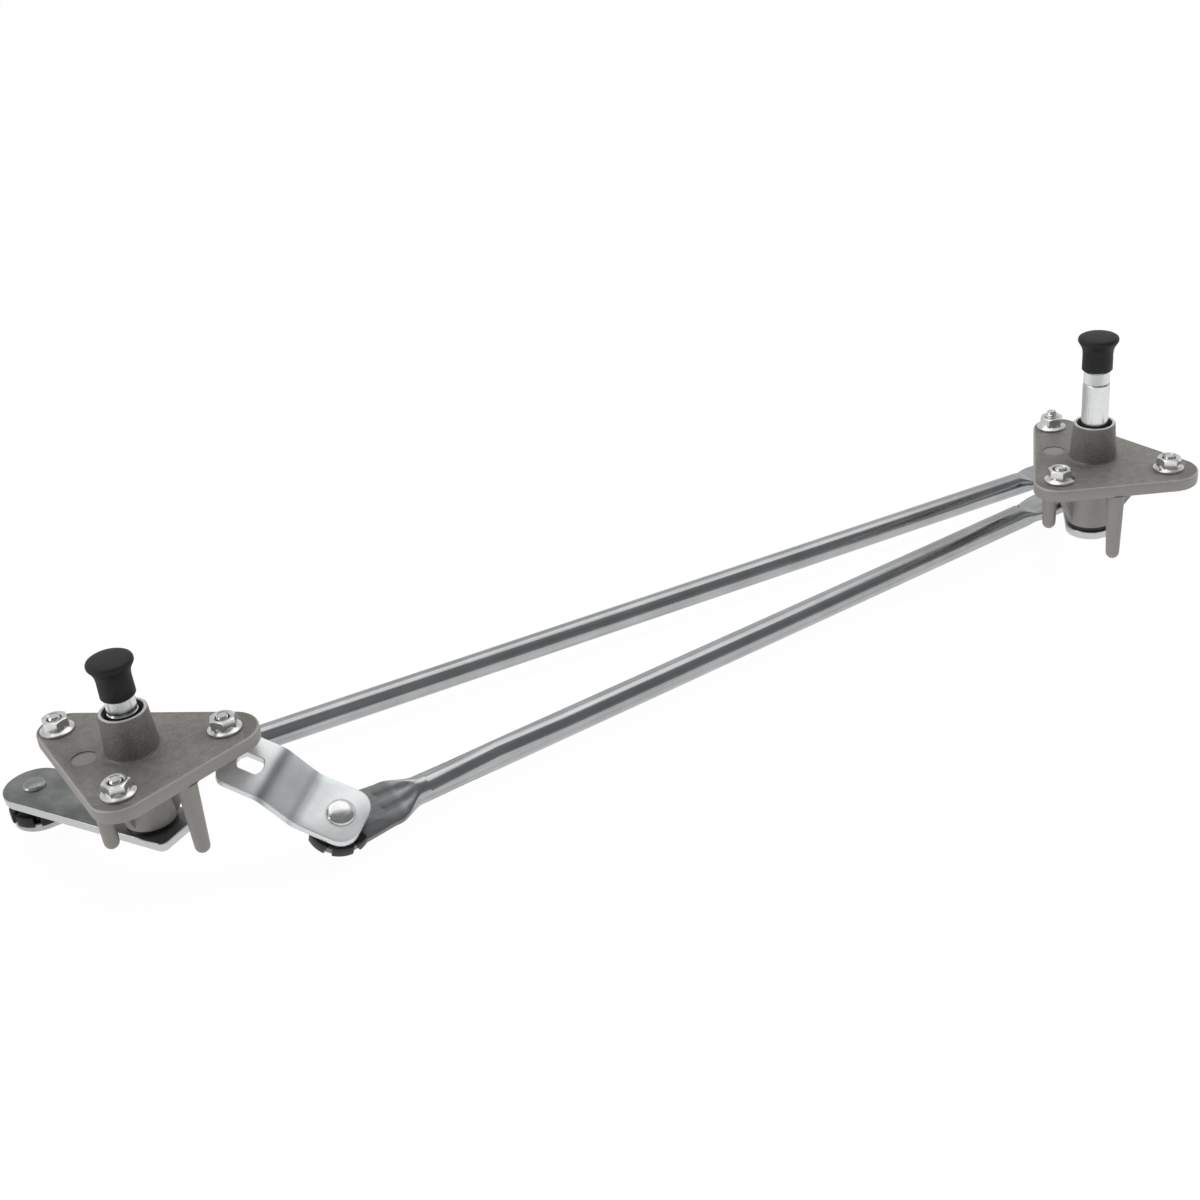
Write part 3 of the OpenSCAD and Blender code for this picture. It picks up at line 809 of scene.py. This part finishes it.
# headSide is pairs of added radius and height above the sheet
ballStud = {
    "ball": 5.5, "neck": 3.4, "neckFrom": 4.35, "collar": 5.0, "collarDepth": 2.0, "gap": 0.02,
    "leverHead": 5.0, "motorHead": 6.2, "headHeight": 2.2,
    "headSide": [(-0.15, 0.02), (0.0, 0.25), (-0.1, 0.75), (-0.6, 1.25), (-1.5, 1.75), (-3.0, 2.1)],
}


def makeBallStud(name, body, at, drop, thick, head, node, skin):
    b = ballStud
    radius, neck, collar, gap = b["ball"], b["neck"], b["collar"], b["gap"]
    ball = [(radius * math.sin(a), -drop - radius * math.cos(a)) for a in angles(0, 141, 10)]
    ball = [p for p in ball if p[1] < -drop or p[0] > neck]
    stem = [(neck, -drop + b["neckFrom"]), (neck, -b["collarDepth"]), (collar, -b["collarDepth"]),
            (collar, -gap), (neck, -gap), (neck, thick + gap)]
    rivet = offset(b["headSide"], head, thick)
    bm = spinProfile(ball + stem + rivet + [(0.0, thick + b["headHeight"])], steps=56)
    finishPiece(bm, name, body, skin, at=at, node=node, sharp=40.0)


for side in sides:
    makeLever(side)
for name, body, ball, node, skin in (
        ("leftDragBall", "left_crank", leftBall, "left_drag_stud", "leverZincShaded"),
        ("rightDragBall", "right_crank", rightBall, "right_drag_stud", "zincBright"),
        ("rightDriveBall", "right_crank", driveBall, "right_drive_stud", "zincBright")):
    makeBallStud(name, body, shift(ball.x, ball.y, layout["leverBottom"]), leverDrop, leverThick,
                 ballStud["leverHead"], node, skin)
makeBallStud("motorBall", "motor_crank", place["motor"] @ shift(0, 0, layout["armDrop"]), layout["armDrop"],
             layout["armThick"], ballStud["motorHead"], "motor_stud", "zincBright")
print("levers and ball studs made")


# squeezed ends of the links, which the sockets sit in; lengths run from the ball

squeeze = {
    "flatFrom": 18.0, "flatTo": 24.0, "slope": 8.5, "slopePower": 1.25, "halfWidth": 10.45, "halfThick": 2.12,
    "swell": 0.35, "swellLength": 9.5, "tuck": 0.3, "tuckFrom": 21.0, "tuckLength": 3.0, "ridgeWaves": 3.0,
    "blend": 5.0, "blendPast": 3.0, "steps": 96, "cuts": 34, "cutsPast": 4.0, "rollLength": 20.0,
    "eyeRadius": 12.2, "eyeHalf": 2.0, "eyeRound": 0.6, "eyeFoot": (22.0, 8.1, 2.0),
    "bore": 8.6, "boreChamfer": 0.35,
}


def ease(t):
    t = min(1.0, max(0.0, t))
    return t * t * (3 - 2 * t)


# ball sockets; a collar is its radius, the turn of its lobes and how far it hangs over the pressed eye

socket = {
    "ball": 5.55, "flat": 4.0, "rimHeight": 4.0, "topGap": 0.5, "gap": 0.02, "holeGap": 0.06,
    "hemRound": 0.25, "linkCollar": (13.0, 47.7, 1.2), "motorCollar": (14.0, 17.7, 2.4),
    "cup": [(0.0, -7.1), (2.6, -6.95), (4.6, -6.3), (6.2, -5.2), (7.2, -3.9)],
    "lowerFlange": [(7.5, -1.1), (9.4, -1.0), (9.6, -0.8), (9.6, -0.02)],
    "collarTop": [(0.0, -0.8), (-0.3, -0.2), (-1.1, 0.0), (-1.8, 0.25)],
    "mouth": [(7.9, -0.3), (7.6, 0.0), (6.0, 0.0), (5.6, -0.3), (5.6, -2.6), (4.45, -2.7)],
    "throat": (4.43, 3.34), "lobes": 7, "notchFoot": 10.0, "notchHalf": 6.0, "notchLead": 2.0,
    "notchFade": 3.0, "notchBelow": 0.1, "openSide": 58.0, "steps": 180,
}


def makeSocket(name, body, at, drop, node, collar="linkCollar"):
    s = socket
    rim, phase, hang = s[collar]
    half, gap = s["flat"] / 2, s["gap"]
    top, edge, hem = drop - s["topGap"], half + s["rimHeight"], half - hang
    hole, eye = squeeze["bore"] - s["holeGap"], squeeze["eyeRadius"] + gap
    flange = offset(s["lowerFlange"], 0.0, -half)
    groove = [(hole, -half - gap), (hole, half + gap), (eye, half + gap), (eye, hem)]
    skirt = [(rim - s["hemRound"], hem), (rim, hem + s["hemRound"])]
    skirt += offset(s["collarTop"], rim, edge)
    mouth = offset(s["mouth"], 0.0, top) + [s["throat"]]
    cavity = [(s["ball"] * math.sin(a), -s["ball"] * math.cos(a)) for a in angles(117, -1, -10)]
    bm = spinProfile(s["cup"] + flange + groove + skirt + mouth + cavity, steps=s["steps"])
    pitch = 360.0 / s["lobes"]
    for v in bm.verts:
        flat = Vector((v.co.x, v.co.y, 0.0))
        if flat.length > s["notchFoot"] and v.co.z > hem - s["notchBelow"]:
            turn = math.degrees(math.atan2(v.co.y, v.co.x))
            off = abs((turn - phase + pitch / 2) % pitch - pitch / 2)
            notch = 1.0 - ease((off - s["notchHalf"] + s["notchLead"]) / s["notchFade"])   # between the lobes
            tubeSide = 1.0 - ease((abs(turn) - s["openSide"]) / s["notchFade"])   # no collar towards the tube
            v.co -= flat.normalized() * (flat.length - s["notchFoot"]) * max(notch, tubeSide)
    finishPiece(bm, name, body, "blackMoulding", at=at, node=node, sharp=40.0)


makeSocket("dragLeftCup", "drag_link", place["drag"], leverDrop, "drag_left_socket")
makeSocket("dragRightCup", "drag_link", place["dragFar"], leverDrop, "drag_right_socket")
makeSocket("driveMotorCup", "drive_link", place["motor"], layout["armDrop"], "drive_motor_socket",
           collar="motorCollar")
makeSocket("driveRightCup", "drive_link", place["driveFar"], leverDrop, "drive_right_socket")
print("sockets made")


# link tubes; the pairs are for the near and the far end, starts being where the squeeze begins

links = {
    "drag": {"length": dragSpan.length, "radius": 6.0, "rolls": (0.0, 0.0), "starts": (42.0, 42.0),
             "ridge": 0.0, "seam": 62.0},
    "drive": {"length": driveSpan.length, "radius": 6.35, "rolls": (layout["driveRoll"], 0.0),
              "starts": (38.0, 48.0), "ridge": 0.10, "seam": 200.0},
}
tube = {"straightCuts": 10, "seamHalf": 2.0, "seamScale": 0.955}


def sectionPoint(x, turn, radius, ridge, start):
    # one point of the tube's skin: an oval cut by a sloping plane, so that the squeeze starts in a crescent
    q = squeeze
    wide = radius + (q["halfWidth"] - radius) * ease((start - x) / (start - q["flatTo"]))
    y = wide * math.cos(turn)
    oval = radius * abs(math.sin(turn))
    rise = max(0.0, (x - start) / q["slope"] + 1.0)
    swell = q["swell"] * ease((x - q["flatTo"]) / q["swellLength"])
    tuck = q["tuck"] * ease((q["tuckFrom"] - x) / q["tuckLength"])
    plane = q["halfThick"] + swell - tuck + (radius - q["halfThick"]) * rise ** q["slopePower"]
    plane += ridge * (1.0 - min(1.0, rise)) * math.cos(q["ridgeWaves"] * math.pi * y / wide)
    tall = oval
    if x < start + q["blendPast"]:   # the lower of the two, with a soft change between them
        tall = -math.log(math.exp(-q["blend"] * oval) + math.exp(-q["blend"] * plane)) / q["blend"]
    return y, math.copysign(max(0.0, tall), math.sin(turn))


def linkSpots(length, starts):
    # where the rings of the tube lie: close together at both ends, wide apart between them
    first, cuts, straight = squeeze["flatFrom"], squeeze["cuts"], tube["straightCuts"]
    head, tail = ([first + (start + squeeze["cutsPast"] - first) * i / cuts for i in range(cuts + 1)]
                  for start in starts)
    middle = [head[-1] + (length - head[-1] - tail[-1]) * i / straight for i in range(1, straight)]
    return head + middle + [length - x for x in reversed(tail)]


def makeEye():
    q = squeeze
    half = q["eyeHalf"]
    x, y, r = q["eyeFoot"]
    eye = hullPlate([(0.0, 0.0, q["eyeRadius"]), (x, -y, r), (x, y, r)], -half, half)
    softenRim(eye, half, q["eyeRound"])
    softenRim(eye, -half, q["eyeRound"])
    boreThrough(eye, -half, half, roundHole(0.0, 0.0, q["bore"]), q["boreChamfer"])
    return eye


def makeLink(kind):
    k, q = links[kind], squeeze
    length, radius = k["length"], k["radius"]
    bm = bmesh.new()
    turnLayer = bm.verts.layers.float.new("turn")
    upright = Matrix.Rotation(math.radians(90), 4, "Y")
    ring = bmesh.ops.create_circle(bm, segments=q["steps"], radius=radius, matrix=upright)["verts"]
    for v in ring:
        v[turnLayer] = math.atan2(v.co.z, v.co.y)
    loop = bm.edges[:]
    bmesh.ops.contextual_create(bm, geom=loop)

    def settle(verts, x):
        end = 0 if x < length / 2 else 1
        start, away = k["starts"][end], (length - x if end else x)
        roll = math.radians(k["rolls"][end]) * ease((start + q["rollLength"] - away) / q["rollLength"])
        for v in verts:
            turn = v[turnLayer]
            y, z = sectionPoint(away, turn, radius, k["ridge"], start)
            if abs(math.degrees(turn) % 360 - k["seam"]) < tube["seamHalf"] and away > start:
                y, z = y * tube["seamScale"], z * tube["seamScale"]   # welded seam of the tube
            v.co = Vector((x, y * math.cos(roll) - z * math.sin(roll),
                           y * math.sin(roll) + z * math.cos(roll)))

    spots = linkSpots(length, k["starts"])
    settle(ring, spots[0])
    for x in spots[1:]:
        verts, loop = extrudeLoop(bm, loop)
        settle(verts, x)
    bmesh.ops.contextual_create(bm, geom=loop)
    faceOut(bm)
    for roll, at in zip(k["rolls"], (Matrix.Identity(4), farEnd(length))):
        addShape(bm, makeEye(), at @ rollX(roll))
    finishPiece(bm, kind + "LinkDrawn", kind + "_link", kind + "Steel",
                at=place[kind], node=kind + "_tube", sharp=34.0)


for kind in links:
    makeLink(kind)
print("links made")


# motor arm; a painted dark reflection at a bend is its place along the arm, its spread and how strong it is

arm = {
    "width": 26.0, "length": 41.0, "step": 9.0, "turn": 127.0, "back": 10.5, "corner": 8.0,
    "tip": 11.0, "tipCorner": 5.0, "topRound": 0.5, "underRound": 0.3, "hole": 5.5, "flats": 4.0,
    "holeSteps": 64, "holeChamfer": 0.3, "bend": (15.5, 31.5), "bendMargin": 6.0, "bendCuts": 24,
    "bendSoft": 0.16, "darkBendReflections": [(30.5, 2.6, 1.0), (17.0, 1.3, 0.45)],
}


def armHole(grow, z):
    r, half = arm["hole"] + grow, arm["flats"] + grow
    points = []
    for i in range(arm["holeSteps"]):
        a = 2 * math.pi * i / arm["holeSteps"]
        points.append((arm["length"] + r * math.cos(a), min(half, max(-half, r * math.sin(a))), z))
    return points


def bendRise(t):
    # share of the step at t along the bend, with both ends rounded
    soft = arm["bendSoft"]
    if -soft < t < soft:
        return (t + soft) ** 2 / (4 * soft)
    if 1 - soft < t < 1 + soft:
        return 1 - (1 + soft - t) ** 2 / (4 * soft)
    return min(1.0, max(0.0, t))


def makeArm():
    a = arm
    thick, half = layout["armThick"], a["width"] / 2
    ends = ((a["corner"] - a["back"], a["corner"]), (a["length"] + a["tip"] - a["tipCorner"], a["tipCorner"]))
    bm = hullPlate([(x, y * (half - r), r) for x, r in ends for y in (-1, 1)], 0.0, thick)
    softenRim(bm, thick, a["topRound"])
    softenRim(bm, 0.0, a["underRound"], segments=2)
    boreThrough(bm, 0.0, thick, armHole, a["holeChamfer"])
    low, high = a["bend"]
    margin, cuts = a["bendMargin"], a["bendCuts"]
    for i in range(cuts + 1):
        cutAcross(bm, (low - margin + (high - low + 2 * margin) * i / cuts, 0, 0), (1, 0, 0))
    lean = math.tan(math.atan2(a["step"], high - low) / 2)
    # dark reflection painted into the bends, strongest at the upper one
    darkBendLayer = bm.verts.layers.float.new("darkBendReflection")
    for v in bm.verts:
        v[darkBendLayer] = sum(deep * math.exp(-((v.co.x - spot) / spread) ** 2)
                             for spot, spread, deep in a["darkBendReflections"])
        x = v.co.x + (v.co.z - thick / 2) * lean   # keeps the sheet's thickness through the bend
        v.co.z += a["step"] * bendRise((x - low) / (high - low))
    at = place["motor"] @ turnZ(a["turn"]) @ shift(0, 0, layout["armDrop"])
    finishPiece(bm, "motorArmPressed", "motor_crank", "armZinc",
                at=at, node="motor_arm", sharp=30.0)


makeArm()
print("motor arm made")


# bushes and washers keep their own solids

plain = {"upper_bush": "sinteredBronze", "lower_bush": "sinteredBronze", "thrust_washer": "blackMoulding"}
for name, kind in plain.items():
    for side in sides:
        mesh = nodes[side + "_" + name].data
        mesh.materials.clear()
        mesh.materials.append(finish[kind])
print("bushes and washers finished")


# floor, light and camera, in metres; mirrored is what bright metal sees in the floor, from front to back

studio = {
    "floorMiddle": 0.23, "floorHeight": -0.0625, "floorSize": 6.0, "floorTone": 0.9, "floorRough": 0.9,
    "glow": 1.03, "glowShare": 0.93, "mirrored": [(0.25, 0.95), (0.585, 0.86), (0.66, 0.42), (0.9, 0.6)],
    "sky": [(0.0, 0.85), (0.3, 0.70), (0.6, 0.66), (0.9, 0.74), (1.0, 0.62)], "skyStrength": 1.0,
    "room": [(0.40, (0.33, 0.33, 0.34)), (0.53, (1.0, 1.0, 1.0))], "white": (1.0, 1.0, 1.0),
}


def greyStops(stops):
    return [(spot, (tone, tone, tone)) for spot, tone in stops]


def makeFloor():
    s = studio
    bm = bmesh.new()
    bmesh.ops.create_grid(bm, x_segments=2, y_segments=2, size=s["floorSize"] / 2,
                          matrix=shift(s["floorMiddle"], 0.0, s["floorHeight"]))
    mesh = toMesh(bm, "studioFloor")
    floor = addObject("studioFloor", mesh)
    material, tree, surface = newMaterial("paleFloor")
    pale = (s["floorTone"], s["floorTone"], s["floorTone"], 1.0)
    feedNode(tree, surface, {"Base Color": pale, "Roughness": s["floorRough"]})
    path = addNode(tree, "ShaderNodeLightPath").outputs
    depth = mathNode(tree, "ADD", splitAxes(tree, objectCoords(tree))["Y"], 0.5)
    mirrored = rampNode(tree, depth, greyStops(s["mirrored"]))
    tone = mixColour(tree, path["Is Camera Ray"], mirrored, s["white"])
    glow = addNode(tree, "ShaderNodeEmission", {"Color": tone, "Strength": s["glow"]})
    direct = mathNode(tree, "MAXIMUM", path["Is Camera Ray"], path["Is Glossy Ray"])
    seen = mathNode(tree, "MAXIMUM", direct, path["Is Transmission Ray"])
    share = times(tree, seen, s["glowShare"])
    mix = addNode(tree, "ShaderNodeMixShader",
                  {"Fac": share, 1: surface.outputs["BSDF"], 2: glow.outputs["Emission"]})
    feedNode(tree, tree.nodes["Material Output"], {"Surface": mix.outputs["Shader"]})
    mesh.materials.append(material)


def makeWorld():
    world = bpy.data.worlds.new("studioWorld")
    bpy.context.scene.world = world
    world.use_nodes = True
    tree = world.node_tree
    back = tree.nodes["Background"]
    split = splitAxes(tree, addNode(tree, "ShaderNodeTexCoord").outputs["Generated"])
    sky = rampNode(tree, split["Z"], greyStops(studio["sky"]))
    depth = mathNode(tree, "ADD", times(tree, split["Y"], 0.5), 0.5)
    room = rampNode(tree, depth, studio["room"])   # the camera's side of the room is dark
    sky = mixColour(tree, 1.0, sky, room, blend="MULTIPLY")
    path = addNode(tree, "ShaderNodeLightPath").outputs
    tone = mixColour(tree, path["Is Camera Ray"], sky, studio["white"])
    feedNode(tree, back, {"Color": tone, "Strength": studio["skyStrength"]})


lamps = [
    {"name": "topPanel", "at": (0.35, 0.45, 1.5), "aim": (0.35, 0.3, 0.0), "size": (2.2, 1.2),
     "power": 6.0, "mirrored": True},
    {"name": "sidePanel", "at": (-1.9, 0.1, 0.9), "aim": (0.1, 0.0, 0.0), "size": (0.9, 0.9),
     "power": 9.0, "mirrored": True},
    {"name": "rightPanel", "at": (1.3, -0.2, 0.9), "aim": (0.47, 0.0, 0.0), "size": (0.6, 0.6),
     "power": 8.0, "mirrored": False},
]


def makeLamps():
    for spec in lamps:
        data = bpy.data.lights.new(spec["name"], "AREA")
        data.shape = "RECTANGLE"
        data.size, data.size_y = spec["size"]
        data.energy = spec["power"]
        lamp = addObject(spec["name"], data)
        lamp.location = spec["at"]
        lamp.visible_glossy = spec["mirrored"]
        lamp.rotation_euler = (Vector(spec["aim"]) - Vector(spec["at"])).to_track_quat("-Z", "Y").to_euler()


view = {
    "at": (-0.02857, -0.60743, 0.36194), "azimuth": -21.236, "elevation": 28.848, "roll": -6.2,
    "lens": 50.65, "sensor": 36.0, "clipStart": 0.01,
}


def makeCamera():
    az, el, roll = (math.radians(view[k]) for k in ("azimuth", "elevation", "roll"))
    back = Vector((math.sin(az) * math.cos(el), -math.cos(az) * math.cos(el), math.sin(el)))
    right = (-back).cross(Vector((0, 0, 1))).normalized()
    up = right.cross(-back)
    across = right * math.cos(roll) + up * math.sin(roll)
    upright = up * math.cos(roll) - right * math.sin(roll)
    data = bpy.data.cameras.new("photoCamera")
    data.lens = view["lens"]
    data.sensor_width = view["sensor"]
    data.clip_start = view["clipStart"]
    camera = addObject("photoCamera", data)
    camera.matrix_world = shift(*view["at"]) @ Matrix((across, upright, back)).transposed().to_4x4()
    bpy.context.scene.camera = camera


makeFloor()
makeWorld()
makeLamps()
makeCamera()
bpy.context.scene.view_settings.view_transform = "Standard"
print("stage made")
